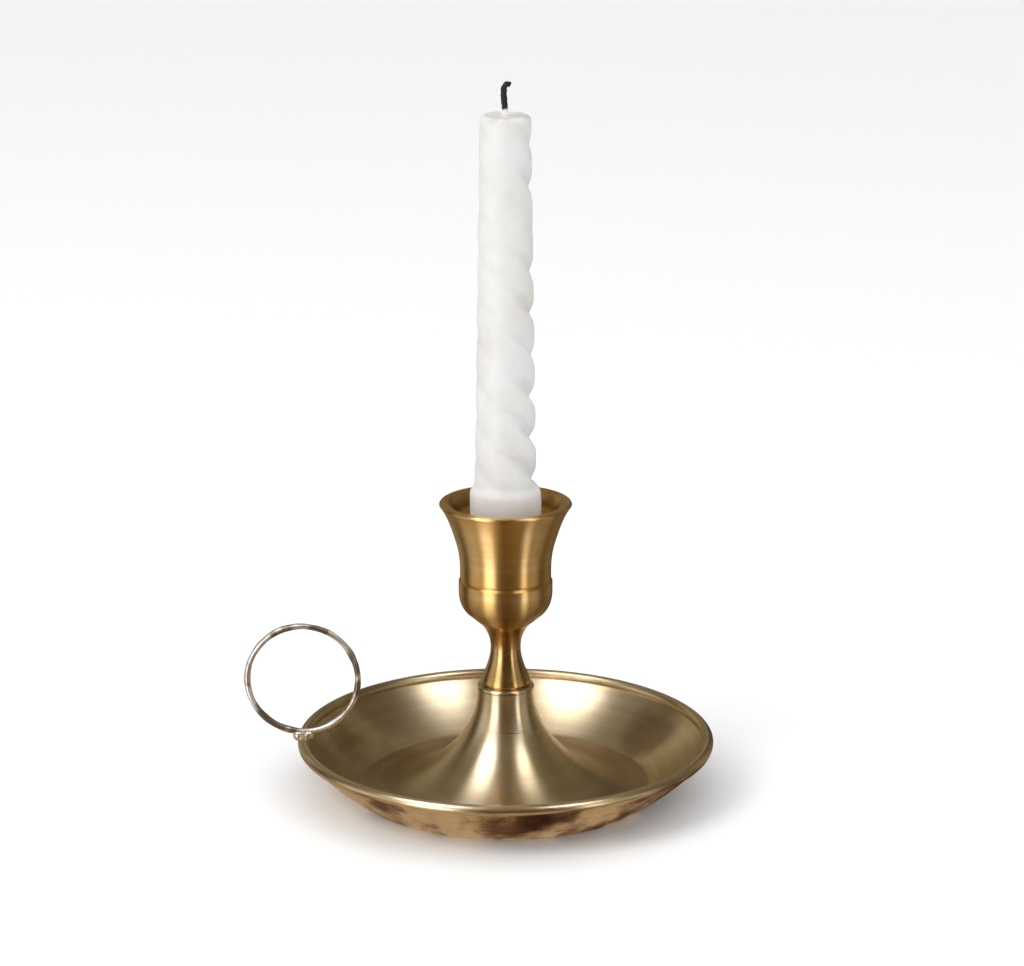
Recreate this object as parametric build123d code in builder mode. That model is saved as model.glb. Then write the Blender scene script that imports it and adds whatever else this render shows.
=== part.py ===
from build123d import *
import os

# A brass chamberstick: a drip pan with a finger ring, a trumpet-shaped pillar, a turned stem and a
# flared cup, held together by one threaded rod from below, with a candle standing in the cup.
# The frame's origin is on the turning axis, on the plane that the foot rests on, with +Z up.
# The finger ring stands on the rim at -X. All sizes are in millimetres.

# ---- Driving dimensions ----

# drip pan
pan_r = 65.5  # over the rolled bead
pan_h = 17.4  # foot to the top of the bead
pan_wall = 1.6
bead_r = 1.7
foot_r = 47.2
wall_bow = 0.8  # how far the sloping wall bulges below a straight line

# centre rod, washer and nut
rod_r = 2.0
rod_end = 1.0  # how far the rod shows below the nut
rod_chamfer = 0.4
washer_t = 0.8
nut_t = 3.2
wrench_space = 3.5  # all round the washer, for a socket wrench
pocket_gap = 0.8  # rod end to the foot's plane

# pillar
pillar_h = 34.0  # foot's plane to the pillar's top
pillar_top_r = 8.95
pillar_foot_r = 40.0
pillar_throat_h = 14.0  # pull of the upper half of the trumpet's curve, above the foot's plane
pillar_spread_r = 30.0  # pull of its lower half
pillar_band = 2.0  # straight band at the top
seat_depth = 0.6  # the pillar's edge is let into the pan's floor by this much

# stem
stem_h = 20.6
stem_foot_r = 8.0
stem_foot_h = 2.1
groove_h = 0.5
groove_depth = 0.6
neck_r = 4.7
neck_h = 12.3  # foot of the stem to its narrowest place
stem_top_r = 8.2
neck_foot_inset = 0.8  # where the neck's curve leaves the stem's foot
spigot_wall = 1.45  # round the rod's hole
spigot_h = 1.2

# candle and wick
candle_r = 11.15  # the plain round base
candle_base_h = 35.6
candle_h = 152.0
shoulder_w = 1.45  # step from the plain base in to the taper
shoulder_h = 2.2
taper = 1.9  # loss of radius from the shoulder to the top
wick_r = 1.05
wick_straight = 5.0  # straight wick above the candle's top
wick_hook_r = 7.0
wick_hook_angle = 38.0

# cup
cup_h = 38.7
cup_floor_h = 7.4  # underside of the cup to the bottom of its bore
cup_wall = 2.75
belly_step = 0.45
belly_h = 10.4
line_h = 13.8  # underside of the cup to the turned line
cup_ledge = 0.6  # cup's underside beyond the stem's top
straight_h = 20.0  # underside of the cup to where it starts to flare
flare_h = 28.0
flare_out = 1.9  # beyond the cup's side at flare_h
bowl_inset = 2.45  # inside the belly, at bowl_h
bowl_h = 3.3
lip_flare = 6.4  # lip's outside beyond the cup's side
lip_w = 3.5
thread_depth = 5.0
line_w = 0.7
lip_round = 0.8
lip_dip = 0.7  # mouth's edge below the lip's top

# finger ring
ring_r = 17.6  # to the middle of the band
ring_t = 2.0  # band, across the ring's radius
ring_w = 2.4  # band, along the ring's axis
ring_sink = 0.6  # how far the band is let into the bead
braze_r = 1.4
braze_inset = 0.1  # each bead's centre, in from the rim's outside and inside
braze_drop = 0.7  # below the top of the rim

# clearances
rod_gap = 0.15
seat_gap = 0.1
spigot_gap = 0.1
candle_gap = 0.3
candle_lift = 0.1

# ---- Places that follow from them ----

bead_c = pan_r - bead_r
bead_z = pan_h - bead_r
wall_top = (bead_c + pan_wall / 2, bead_z - pan_wall / 2)

washer_r = 2.25 * rod_r
nut_flats = 3.5 * rod_r
rod_hole_r = rod_r + rod_gap
spigot_r = rod_hole_r + spigot_wall
pocket_r = washer_r + wrench_space
pocket_h = washer_t + nut_t + rod_end + pocket_gap
boss_r = pocket_r + pan_wall
boss_h = pocket_h + pan_wall
seat_z = pan_wall - seat_depth
seat_r = pillar_foot_r + seat_gap

stem_z = pillar_h
cup_z = stem_z + stem_h
cup_floor_z = cup_z + cup_floor_h
socket_r = spigot_r + spigot_gap
socket_h = spigot_h + spigot_gap

bore_r = candle_r + candle_gap
cup_side_r = bore_r + cup_wall
belly_r = cup_side_r + belly_step
bowl_r = belly_r - bowl_inset
cup_foot_r = stem_top_r + cup_ledge
lip_r = cup_side_r + lip_flare
mouth_r = lip_r - lip_w
lip_z = cup_z + cup_h

candle_z = cup_floor_z + candle_lift
candle_top_z = candle_z + candle_h
taper_low_r = candle_r - shoulder_w
taper_top_r = taper_low_r - taper

ring_x = -bead_c
ring_z = pan_h - ring_sink + ring_r + ring_t / 2
braze_z = pan_h - braze_drop
braze_out = bead_r - braze_inset

# ---- Finger ring ----

with BuildPart() as finger_ring:
    with BuildSketch(Plane.XY.offset(ring_z)):
        with Locations((ring_x + ring_r, 0)):
            Ellipse(ring_t / 2, ring_w / 2)
    revolve(axis=Axis((ring_x, 0, ring_z), (0, 1, 0)))
finger_ring.part.label = "finger_ring"

# ---- Drip pan ----

with BuildPart() as drip_pan:
    with BuildSketch(Plane.XZ):
        with BuildLine():
            Polyline((rod_hole_r, pocket_h), (pocket_r, pocket_h), (pocket_r, 0), (foot_r, 0))
            SagittaArc((foot_r, 0), wall_top, wall_bow)
            offset(amount=pan_wall, side=Side.LEFT, kind=Kind.INTERSECTION)
        make_face()
        with Locations((bead_c, bead_z)):
            Circle(bead_r)
        with Locations(((boss_r + seat_r) / 2, pan_wall)):
            Rectangle(seat_r - boss_r, 2 * seat_depth, mode=Mode.SUBTRACT)
    revolve(axis=Axis.Z)
    add(finger_ring.part, mode=Mode.SUBTRACT)
drip_pan.part.label = "drip_pan"

# ---- Braze that holds the ring, inside and outside the bead ----

with BuildPart() as ring_braze:
    with Locations((ring_x - braze_out, 0, braze_z), (ring_x + braze_out, 0, braze_z)):
        Sphere(braze_r)
    add(finger_ring.part, mode=Mode.SUBTRACT)
    add(drip_pan.part, mode=Mode.SUBTRACT)
ring_braze.part.label = "ring_braze"

# ---- Pillar ----

with BuildPart() as pillar:
    with BuildSketch(Plane.XZ):
        with BuildLine():
            Line((pillar_top_r, pillar_h), (pillar_top_r, pillar_h - pillar_band))
            Bezier(
                (pillar_top_r, pillar_h - pillar_band),
                (pillar_top_r, pillar_throat_h),
                (pillar_spread_r, pan_wall),
                (pillar_foot_r, pan_wall),
            )
            Polyline(
                (pillar_foot_r, pan_wall),
                (pillar_foot_r, seat_z),
                (boss_r + seat_gap, seat_z),
                (boss_r + seat_gap, boss_h),
                (rod_hole_r, boss_h),
                (rod_hole_r, pillar_h - socket_h),
                (socket_r, pillar_h - socket_h),
                (socket_r, pillar_h),
                (pillar_top_r, pillar_h),
            )
        make_face()
    revolve(axis=Axis.Z)
pillar.part.label = "pillar"

# ---- Stem ----

with BuildPart() as stem:
    with BuildSketch(Plane.XZ):
        with BuildLine():
            Polyline(
                (stem_foot_r, stem_z + groove_h),
                (stem_foot_r - groove_depth, stem_z + groove_h),
                (stem_foot_r - groove_depth, stem_z),
                (spigot_r, stem_z),
                (spigot_r, stem_z - spigot_h),
                (rod_hole_r, stem_z - spigot_h),
                (rod_hole_r, cup_z - socket_h),
                (socket_r, cup_z - socket_h),
                (socket_r, cup_z),
                (stem_top_r, cup_z),
            )
            Spline(
                (stem_top_r, cup_z),
                (neck_r, stem_z + neck_h),
                (stem_foot_r - neck_foot_inset, stem_z + groove_h + stem_foot_h),
                tangents=((-1, -1), (1, -1.6)),
            )
            Polyline(
                (stem_foot_r - neck_foot_inset, stem_z + groove_h + stem_foot_h),
                (stem_foot_r, stem_z + groove_h + stem_foot_h),
                (stem_foot_r, stem_z + groove_h),
            )
        make_face()
    revolve(axis=Axis.Z)
stem.part.label = "stem"

# ---- Candle cup ----

with BuildPart() as candle_cup:
    with BuildSketch(Plane.XZ):
        with BuildLine():
            Polyline(
                (mouth_r, lip_z - lip_dip),
                (lip_r - lip_round, lip_z),
                (lip_r, lip_z - lip_round),
            )
            Spline(
                (lip_r, lip_z - lip_round),
                (cup_side_r + flare_out, cup_z + flare_h),
                (cup_side_r, cup_z + straight_h),
                tangents=((-0.7, -1), (0, -1)),
            )
            Polyline(
                (cup_side_r, cup_z + straight_h),
                (cup_side_r, cup_z + line_h + line_w),
                (cup_side_r - belly_step, cup_z + line_h + line_w / 2),
                (cup_side_r, cup_z + line_h),
                (belly_r, cup_z + line_h - belly_step),
                (belly_r, cup_z + belly_h),
            )
            Spline(
                (belly_r, cup_z + belly_h),
                (bowl_r, cup_z + bowl_h),
                (cup_foot_r, cup_z),
                tangents=((0, -1), (-1, -0.9)),
            )
            Polyline(
                (cup_foot_r, cup_z),
                (spigot_r, cup_z),
                (spigot_r, cup_z - spigot_h),
                (rod_r, cup_z - spigot_h),
                (rod_r, cup_z + thread_depth),
                (0, cup_z + thread_depth),
                (0, cup_floor_z),
                (bore_r, cup_floor_z),
                (bore_r, cup_z + straight_h),
            )
            Spline(
                (bore_r, cup_z + straight_h),
                (mouth_r, lip_z - lip_dip),
                tangents=((0, 1), (0.7, 1)),
            )
        make_face()
    revolve(axis=Axis.Z)
candle_cup.part.label = "candle_cup"

# ---- Centre rod, washer and nut ----

with BuildPart() as tie_rod:
    with BuildSketch(Plane.XY.offset(pocket_gap)):
        Circle(rod_r)
    extrude(amount=cup_z + thread_depth - pocket_gap)
    chamfer(tie_rod.edges().group_by(Axis.Z)[0], rod_chamfer)
tie_rod.part.label = "tie_rod"

with BuildPart() as washer:
    with BuildSketch(Plane.XY.offset(pocket_h - washer_t)):
        Circle(washer_r)
        Circle(rod_hole_r, mode=Mode.SUBTRACT)
    extrude(amount=washer_t)
washer.part.label = "washer"

with BuildPart() as nut:
    with BuildSketch(Plane.XY.offset(pocket_h - washer_t - nut_t)):
        RegularPolygon(nut_flats / 2, 6, major_radius=False)
        Circle(rod_r, mode=Mode.SUBTRACT)
    extrude(amount=nut_t)
nut.part.label = "nut"

# ---- Wick ----

with BuildPart() as wick:
    with BuildLine(Plane.XZ) as wick_line:
        Line((0, candle_z), (0, candle_top_z + wick_straight))
        JernArc((0, candle_top_z + wick_straight), (0, 1), wick_hook_r, -wick_hook_angle)
    with BuildSketch(Plane.XY.offset(candle_z)):
        Circle(wick_r)
    sweep(path=wick_line.line)
wick.part.label = "wick"

# ---- Candle ----

with BuildPart() as candle:
    with BuildSketch(Plane.XZ):
        with BuildLine():
            Polyline(
                (wick_r, candle_top_z),
                (wick_r, candle_z),
                (candle_r, candle_z),
                (candle_r, candle_z + candle_base_h),
                (taper_low_r, candle_z + candle_base_h + shoulder_h),
                (taper_top_r, candle_top_z - taper_top_r / 2),
            )
            Spline(
                (taper_top_r, candle_top_z - taper_top_r / 2),
                (wick_r, candle_top_z),
                tangents=((0, 1), (-1, 0)),
            )
        make_face()
    revolve(axis=Axis.Z)
candle.part.label = "candle"

# ---- One file for each piece ----

os.makedirs("parts", exist_ok=True)
for piece in (
    drip_pan,
    pillar,
    stem,
    candle_cup,
    tie_rod,
    washer,
    nut,
    finger_ring,
    ring_braze,
    candle,
    wick,
):
    export_step(piece.part, f"parts/{piece.part.label}.step")
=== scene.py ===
import math

import bpy
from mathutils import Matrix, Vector


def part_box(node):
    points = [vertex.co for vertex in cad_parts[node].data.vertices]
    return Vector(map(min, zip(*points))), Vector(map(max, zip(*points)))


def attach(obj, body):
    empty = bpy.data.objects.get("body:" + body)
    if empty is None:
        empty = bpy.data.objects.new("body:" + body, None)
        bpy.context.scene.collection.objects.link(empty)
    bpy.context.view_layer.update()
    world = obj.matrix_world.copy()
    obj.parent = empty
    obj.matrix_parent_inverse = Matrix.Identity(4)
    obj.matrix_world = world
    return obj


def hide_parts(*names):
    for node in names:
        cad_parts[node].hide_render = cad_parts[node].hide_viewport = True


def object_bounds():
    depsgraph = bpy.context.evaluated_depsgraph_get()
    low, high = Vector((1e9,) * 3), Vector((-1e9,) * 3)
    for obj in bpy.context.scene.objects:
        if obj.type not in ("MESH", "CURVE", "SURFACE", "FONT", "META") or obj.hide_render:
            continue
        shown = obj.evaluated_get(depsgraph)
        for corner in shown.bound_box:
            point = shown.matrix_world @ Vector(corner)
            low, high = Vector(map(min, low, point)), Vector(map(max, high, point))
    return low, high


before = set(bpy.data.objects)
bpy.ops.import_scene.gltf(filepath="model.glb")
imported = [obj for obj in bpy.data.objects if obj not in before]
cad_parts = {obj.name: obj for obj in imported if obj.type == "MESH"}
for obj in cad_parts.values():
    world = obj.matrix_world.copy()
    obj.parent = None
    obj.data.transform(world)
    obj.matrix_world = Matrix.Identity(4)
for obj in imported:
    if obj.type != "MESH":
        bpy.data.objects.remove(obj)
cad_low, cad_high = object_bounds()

bl_info = {
    "name": "Brass Chamberstick",
    "version": (1, 0, 0),
    "blender": (4, 5, 0),
    "location": "3D View > Sidebar > Chamberstick",
    "description": "Models a turned brass candlestick with its dish, finger ring and twisted candle",
    "category": "Object",
}

# Sizes are in metres. The outlines of the turned pieces are points (radius, height) on one side
# of the turning axis, which is the frame's Z axis.

MM = 0.001
AXIS = (0.0, 0.0, 0.0)

# Fits that are hidden inside the assembly, the same for every piece that they join.
ROD_HOLE = 2.15 * MM
SPIGOT = 3.6 * MM
SOCKET = 3.7 * MM
SPIGOT_HEIGHT = 1.2 * MM
SOCKET_HEIGHT = 1.3 * MM
POCKET_RADIUS = 8.0 * MM
POCKET_HEIGHT = 5.8 * MM
BOSS_RADIUS = 9.6 * MM
BOSS_HEIGHT = 7.4 * MM
SEAT_HEIGHT = 1.0 * MM

# Radius and top of the flat inside the dish.
FLAT_RADIUS = 45.4 * MM
FLAT_HEIGHT = SEAT_HEIGHT + 0.15 * MM

# Pitch of the thread on the rod.
THREAD_PITCH = 0.7 * MM

dish_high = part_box("drip_pan")[1]
pillar_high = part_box("pillar")[1]
cup_low, cup_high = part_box("candle_cup")
ring_low, ring_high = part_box("finger_ring")
braze_low, braze_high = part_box("ring_braze")
candle_low, candle_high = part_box("candle")
wick_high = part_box("wick")[1]


# ---------------------------------------------------------------- shader maths


class Signal:
    """An output of a node. Arithmetic on it adds Math nodes to its material."""

    def __init__(self, paint, socket):
        self.paint = paint
        self.socket = socket

    def __add__(self, other):
        return self.paint.math("ADD", self, other)

    def __radd__(self, other):
        return self.paint.math("ADD", other, self)

    def __sub__(self, other):
        return self.paint.math("SUBTRACT", self, other)

    def __rsub__(self, other):
        return self.paint.math("SUBTRACT", other, self)

    def __mul__(self, other):
        return self.paint.math("MULTIPLY", self, other)

    def __rmul__(self, other):
        return self.paint.math("MULTIPLY", other, self)

    def __truediv__(self, other):
        return self.paint.math("DIVIDE", self, other)

    def __pow__(self, other):
        return self.paint.math("POWER", self, other)

    def step(self, low, high):
        """0 where the signal is below low, 1 above high, and a smooth rise between."""
        settings = {"interpolation_type": "SMOOTHSTEP"}
        return self.paint.node("ShaderNodeMapRange", settings, {"Value": self, 1: low, 2: high})


class Paint:
    """A procedural material that is built up node by node."""

    def __init__(self, name):
        self.material = bpy.data.materials.new(name)
        self.material.use_nodes = True
        self.tree = self.material.node_tree
        self.shader = self.tree.nodes["Principled BSDF"]
        self.place = self.node("ShaderNodeTexCoord", output="Object")
        split = self.node("ShaderNodeSeparateXYZ", {}, {0: self.place}).socket.node
        self.x, self.y, self.z = (Signal(self, split.outputs[axis]) for axis in "XYZ")

    def node(self, kind, settings=None, sockets=None, output=0):
        """Adds a node: its settings first, then the values or links of its sockets."""
        node = self.tree.nodes.new(kind)
        for name, value in (settings or {}).items():
            if name == "stops":
                self.set_stops(node.color_ramp, value)
            else:
                setattr(node, name, value)
        for name, value in (sockets or {}).items():
            self.feed(node.inputs[name], value)
        return Signal(self, node.outputs[output])

    def set_stops(self, ramp, stops):
        """Gives a colour ramp its stops, each a position and a colour."""
        while len(ramp.elements) < len(stops):
            ramp.elements.new(0.5)
        for element, (position, colour) in zip(ramp.elements, stops):
            element.position = position
            element.color = rgba(colour)

    def feed(self, socket, value):
        """Links a signal to a socket, or sets the socket to a plain value."""
        if isinstance(value, Signal):
            self.tree.links.new(value.socket, socket)
        else:
            socket.default_value = value

    def math(self, operation, *values):
        """One Math node on these values."""
        return self.node("ShaderNodeMath", {"operation": operation}, dict(enumerate(values)))

    def radius(self):
        """Distance from the turning axis."""
        return (self.x * self.x + self.y * self.y) ** 0.5

    def vector(self, x, y, z):
        """A vector from three numbers or signals."""
        return self.node("ShaderNodeCombineXYZ", {}, {"X": x, "Y": y, "Z": z})

    def noise(self, vector, scale, detail=2.0, rough=0.5):
        """Soft noise from 0 to 1, with its scale in waves per metre."""
        sockets = {"Vector": vector, "Scale": scale, "Detail": detail, "Roughness": rough}
        return self.node("ShaderNodeTexNoise", {}, sockets)

    def cells(self, vector, scale):
        """Round dents: the smoothed distance to the nearest of many scattered points."""
        settings = {"feature": "SMOOTH_F1"}
        return self.node("ShaderNodeTexVoronoi", settings, {"Vector": vector, "Scale": scale})

    def mix(self, factor, low, high, blend="MIX"):
        """Blends two colours by a factor."""
        settings = {"data_type": "RGBA", "blend_type": blend, "clamp_factor": True}
        return self.node("ShaderNodeMix", settings, {0: factor, 6: low, 7: high}, 2)

    def bump(self, height, distance):
        """A normal from a height of 0 to 1 that stands for this distance."""
        sockets = {"Height": height, "Distance": distance, "Strength": 1.0}
        return self.node("ShaderNodeBump", {}, sockets)

    def finish(self, **values):
        """Sets the surface: Base_Color=..., Roughness=... and so on."""
        for name, value in values.items():
            self.feed(self.shader.inputs[name.replace("_", " ")], value)
        return self.material


def rgba(colour):
    """The first three values of a colour, opaque."""
    return (*tuple(colour)[:3], 1.0)


# ---------------------------------------------------------------- finishes


def turned_brass(name, look, roughness, brushing, hollows):
    """Brass turned on a lathe: fine rings, soft clouds of patina, brown tarnish, and the darkening that
    the hollows function adds, which is painted shade and painted reflections on the dish, pillar and cup.
    """
    paint = Paint(name)
    radius = paint.radius()
    drift = paint.noise(paint.place, 40.0, 2.0)
    fine = paint.noise(paint.vector(radius, paint.z, 0.0), 1100.0, 1.0)
    broad = paint.noise(paint.vector(radius + drift * 0.6 * MM, paint.z, 0.0), 420.0, 1.0)
    cloud = paint.noise(paint.place, 34.0, 6.0, 0.6)
    speck = paint.noise(paint.place, 420.0, 4.0, 0.7)
    base = paint.mix(cloud.step(0.35, 0.68), rgba(look.colour), rgba(look.warm_colour))
    base = paint.mix(broad.step(0.45, 0.75) * 0.30, base, rgba(look.pale_colour))
    tarnish_and_shade = paint.noise(paint.place, 17.0, 5.0, 0.62).step(0.55, 0.74) * look.tarnish
    # The hollows function adds painted shade and painted reflections on the dish, pillar and cup.
    tarnish_and_shade = paint.math("MAXIMUM", tarnish_and_shade, hollows(paint, radius, cloud))
    base = paint.mix(tarnish_and_shade, base, rgba(look.tarnish_and_shade_colour))
    base = paint.mix(speck.step(0.66, 0.80) * 0.35, base, rgba(look.tarnish_and_shade_colour))
    rough = roughness + cloud * 0.07 + fine * 0.06 + tarnish_and_shade * 0.12
    height = fine * 0.5 + broad * 0.9
    return paint.finish(
        Base_Color=base,
        Metallic=1.0,
        Roughness=rough,
        Normal=paint.bump(height, look.lathe_depth),
        Anisotropic=brushing,
        Anisotropic_Rotation=0.25,
    )


# Painted dark reflections on the inside of the dish's wall: place, reach and strength.
DISH_DARK_REFLECTIONS = (
    ((-51.0 * MM, 20.0 * MM, 8.5 * MM), 15.0 * MM, 0.62),
    ((-43.0 * MM, 43.0 * MM, 13.0 * MM), 17.0 * MM, 0.42),
    ((47.0 * MM, 27.0 * MM, 8.5 * MM), 14.0 * MM, 0.55),
)


def dish_shade_and_reflections(paint, radius, cloud):
    """Painted shade on the flat round the pillar, painted dark reflections on the wall above it, and
    mottled painted reflections on the faces that point down, with painted shade towards their right side.
    """
    inside_crease = 1.0 - radius.step(FLAT_RADIUS - 0.5 * MM, FLAT_RADIUS + 0.3 * MM)
    # Painted shade on the flat round the pillar's foot.
    flat = painted_foot_shade(paint, radius) * inside_crease
    normal = paint.node("ShaderNodeNewGeometry", output="Normal")
    upward = paint.node("ShaderNodeSeparateXYZ", {}, {0: normal}, "Z")
    # Faces that point down get a mottled painted reflection of a dark table, and painted shade towards the
    # right.
    under = 1.0 - upward.step(-0.62, -0.45)
    reflection_blotch = paint.noise(paint.place, 60.0, 5.0, 0.60).step(0.46, 0.62)
    darkened = under * paint.x.step(26.0 * MM, 58.0 * MM) * 0.50
    wander = (cloud - 0.5) * 30.0 * MM
    distance = {"operation": "DISTANCE"}
    # Painted dark reflections in patches on the wall.
    dark_reflections = 0.0
    for place, reach, amount in DISH_DARK_REFLECTIONS:
        away = paint.node("ShaderNodeVectorMath", distance, {0: paint.place, 1: place}, "Value")
        dark_reflections = (1.0 - (away + wander).step(reach * 0.3, reach)) * amount + dark_reflections
    return flat * (0.28 + cloud * 0.3) + under * reflection_blotch * 0.90 + darkened + dark_reflections


def painted_foot_shade(paint, radius):
    """Painted shade where the pillar's spreading foot meets the dish floor."""
    return radius.step(24.0 * MM, 39.0 * MM) * (1.0 - paint.z.step(2.6 * MM, 5.5 * MM))


def pillar_shade_and_line(paint, radius, cloud):
    """The same painted shade on the pillar's foot, a faint darkening that grows down its flare and a dark
    line under its top.
    """
    groove = paint.z.step(pillar_high.z - 1.35 * MM, pillar_high.z - 1.15 * MM)
    groove = groove * (1.0 - paint.z.step(pillar_high.z - 0.95 * MM, pillar_high.z - 0.8 * MM))
    spread = radius.step(13.0 * MM, 22.0 * MM) * 0.20
    # Painted shade on the pillar's foot.
    foot_shade = painted_foot_shade(paint, radius) * (0.28 + cloud * 0.3)
    return paint.math("MAXIMUM", foot_shade, spread) + groove * 0.6


def cup_painted_shade(paint, radius, cloud):
    """Painted shade inside the flare and the bore, and clouds of painted shade round the lower bowl."""
    # Painted shade inside the mouth and down the bore.
    inside = (1.0 - radius.step(15.0 * MM, 17.4 * MM)) * paint.z.step(88.0 * MM, 90.0 * MM)
    bore = (1.0 - radius.step(12.2 * MM, 12.8 * MM)) * paint.z.step(61.0 * MM, 62.0 * MM)
    # Painted shade in clouds on the lower bowl.
    bowl = 1.0 - paint.z.step(58.0 * MM, 67.0 * MM)
    outside = bowl * (0.25 + cloud * 0.5) * radius.step(4.0 * MM, 5.0 * MM)
    return (inside + bore) * (0.62 + cloud * 0.25) + outside


def stem_hollows(paint, radius, cloud):
    """Brown all over the stem, with darker patches along its waist."""
    waist = 1.0 - radius.step(6.6 * MM, 7.6 * MM)
    return waist * cloud.step(0.32, 0.60) * 0.52 + 0.26


def hammered_brass(look):
    """Pale hand-hammered brass with brown left in its hollows."""
    paint = Paint("ring_brass")
    dent = paint.cells(paint.place, 190.0)
    cloud = paint.noise(paint.place, 75.0, 3.0, 0.5)
    streak = paint.noise(paint.place, 240.0, 3.0, 0.5)
    base = paint.mix(cloud.step(0.42, 0.60), rgba(look.colour), rgba(look.warm_colour))
    brown = (cloud * 0.6 + streak * 0.4).step(0.50, 0.58) * look.tarnish
    base = paint.mix(brown, base, rgba(look.tarnish_and_shade_colour))
    rough = look.roughness + cloud * 0.12 + streak * 0.08
    height = dent + streak * 0.15
    return paint.finish(
        Base_Color=base,
        Metallic=1.0,
        Roughness=rough,
        Normal=paint.bump(height, look.lathe_depth),
    )


def plated_steel():
    """Nickel-plated steel for the rod, washer and nut under the dish."""
    paint = Paint("plated_steel")
    cloud = paint.noise(paint.place, 260.0, 5.0, 0.6)
    scratch = paint.noise(paint.vector(paint.x * 0.15, paint.y, paint.z * 0.4), 3200.0, 3.0)
    thread = paint.math("SINE", paint.z * (2.0 * math.pi / THREAD_PITCH))
    base = paint.mix(cloud.step(0.35, 0.70), (0.62, 0.61, 0.58, 1.0), (0.40, 0.38, 0.34, 1.0))
    rough = 0.28 + cloud * 0.16 + scratch * 0.08
    height = scratch * 0.4 + cloud * 0.3 + thread * 0.1
    return paint.finish(
        Base_Color=base,
        Metallic=1.0,
        Roughness=rough,
        Normal=paint.bump(height, 0.02 * MM),
    )


def candle_wax(look):
    """Ivory-white wax with faint clouding, a soft gloss and tiny dents from handling."""
    paint = Paint("candle_wax")
    cloud = paint.noise(paint.place, 55.0, 4.0, 0.6)
    grain = paint.noise(paint.place, 700.0, 4.0, 0.6)
    dent = paint.noise(paint.place, 190.0, 3.0, 0.5)
    base = paint.mix(cloud.step(0.35, 0.70), rgba(look.colour), rgba(look.shade_colour))
    base = paint.mix(grain.step(0.62, 0.78) * 0.25, base, rgba(look.shade_colour))
    pool = paint.z.step(look.pool_start, look.pool_end) * dent.step(0.48, 0.60)
    base = paint.mix(pool * 0.55, base, rgba(look.pool_colour))
    rough = 0.42 + cloud * 0.14 - dent * 0.06
    height = dent + grain * 0.12
    return paint.finish(
        Base_Color=base,
        Roughness=rough,
        Normal=paint.bump(height, 0.16 * MM),
        Subsurface_Weight=0.35,
        Subsurface_Scale=4.0 * MM,
        Subsurface_Radius=(1.0, 0.85, 0.65),
    )


def charred_cotton(look):
    """Braided cotton: waxed white at the foot, charred black above."""
    paint = Paint("charred_cotton")
    grain = paint.noise(paint.place, 2200.0, 4.0, 0.7)
    patch = paint.noise(paint.place, 700.0, 3.0, 0.5)
    darkened = (paint.z + patch * 1.2 * MM).step(look.char_start, look.char_start + 1.1 * MM)
    base = paint.mix(darkened, rgba(look.waxed_colour), rgba(look.char_colour))
    base = paint.mix(grain.step(0.60, 0.75) * 0.5, base, rgba(look.ash_colour))
    return paint.finish(
        Base_Color=base,
        Roughness=0.55 + grain * 0.35,
        Normal=paint.bump(grain, 0.12 * MM),
    )


# ---------------------------------------------------------------- outlines


def arc(start, end, bow, steps=18):
    """Points after start up to end on a circle that bows to the right of the straight line."""
    start, end = Vector(start), Vector(end)
    chord = end - start
    half = chord.length / 2
    radius = (half * half + bow * bow) / (2 * abs(bow))
    right = Vector((chord.y, -chord.x)).normalized() * math.copysign(1.0, bow)
    centre = (start + end) / 2 - right * (radius - abs(bow))
    first = start - centre
    sweep = 2 * math.asin(min(1.0, half / radius)) * math.copysign(1.0, bow)
    points = []
    for index in range(1, steps + 1):
        angle = sweep * index / steps
        turned = Vector(
            (
                first.x * math.cos(angle) - first.y * math.sin(angle),
                first.x * math.sin(angle) + first.y * math.cos(angle),
            )
        )
        points.append(tuple(centre + turned))
    return points


def bow_curve(start, pull_start, pull_end, end, steps=20):
    """Points after start up to end on a Bezier curve with these two pulls."""
    points = []
    for index in range(1, steps + 1):
        t = index / steps
        weights = ((1 - t) ** 3, 3 * t * (1 - t) ** 2, 3 * t * t * (1 - t), t ** 3)
        knots = (start, pull_start, pull_end, end)
        points.append(tuple(sum(w * k[axis] for w, k in zip(weights, knots)) for axis in (0, 1)))
    return points


def round_part(centre, radius, start_angle, end_angle, steps):
    """Points of a circle in the outline, from one angle to another, in degrees."""
    points = []
    for index in range(steps + 1):
        angle = math.radians(start_angle + (end_angle - start_angle) * index / steps)
        points.append((centre[0] + radius * math.cos(angle), centre[1] + radius * math.sin(angle)))
    return points


# ---------------------------------------------------------------- modelling tools

# An edge that turns by more degrees than this is rounded.
SHARP_EDGE = 32.0


def nothing_selected():
    """Leaves edit mode and deselects every object."""
    if bpy.context.object and bpy.context.object.mode != "OBJECT":
        bpy.ops.object.mode_set(mode="OBJECT")
    bpy.ops.object.select_all(action="DESELECT")


def name_new(name):
    """Names the primitive that was just added and its mesh."""
    piece = bpy.context.object
    piece.name = name
    piece.data.name = name
    return piece


def select_points(piece, wanted):
    """Selects the vertices whose place passes the test, in edit mode."""
    bpy.ops.mesh.select_all(action="DESELECT")
    bpy.ops.object.mode_set(mode="OBJECT")
    for vertex in piece.data.vertices:
        vertex.select = wanted(vertex.co)
    bpy.ops.object.mode_set(mode="EDIT")


def close_shell():
    """Merges the seam and poles of the mesh being edited and turns its faces outwards."""
    bpy.ops.mesh.select_all(action="SELECT")
    bpy.ops.mesh.remove_doubles(threshold=0.002 * MM)
    bpy.ops.mesh.normals_make_consistent(inside=False)
    bpy.ops.object.mode_set(mode="OBJECT")


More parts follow.
